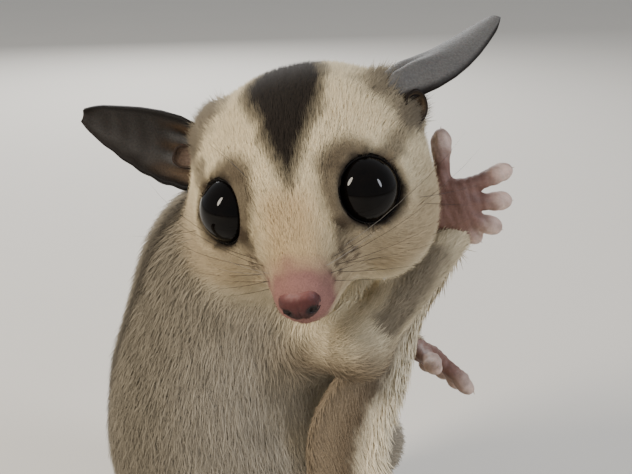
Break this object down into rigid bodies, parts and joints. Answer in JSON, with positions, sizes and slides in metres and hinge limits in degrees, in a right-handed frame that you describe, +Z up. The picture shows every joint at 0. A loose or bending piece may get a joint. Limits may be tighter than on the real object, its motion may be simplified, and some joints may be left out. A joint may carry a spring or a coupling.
{
  "type": "sugar glider figure",
  "caption": "Life-size still figure of a sugar glider sitting up, head turned to one side, one hand held out with fingers spread, tail laid on the floor.",
  "frame": {"origin": "point on the flat under the rump, on the floor", "axes": "+Z up; +X roughly where the belly faces; -Y where the turned head looks"},
  "size_m": [0.16, 0.0963, 0.105],
  "materials": {
    "coat": "soft grey fur",
    "face": "short cream fur",
    "limb": "soft fur",
    "tail": "long bushy fur",
    "pink_skin": "bare skin",
    "ear_skin": "thin bare skin",
    "nose_skin": "moist bare skin",
    "eye": "glossy dark eye"
  },
  "bodies": {
    "root": {"torso": "coat", "head": "face", "nose": "nose_skin", "eye_left": "eye", "eye_right": "eye", "ear_left": "ear_skin", "ear_right": "ear_skin", "arm_left": "limb", "arm_right": "limb", "leg_left": "limb", "leg_right": "limb", "hand_left": "pink_skin", "hand_right": "pink_skin", "foot_left": "pink_skin", "foot_right": "pink_skin", "patagium_left": "limb", "patagium_right": "limb", "tail_root": "tail", "tail_middle": "tail", "tail_tip": "tail"}
  },
  "joints": []
}
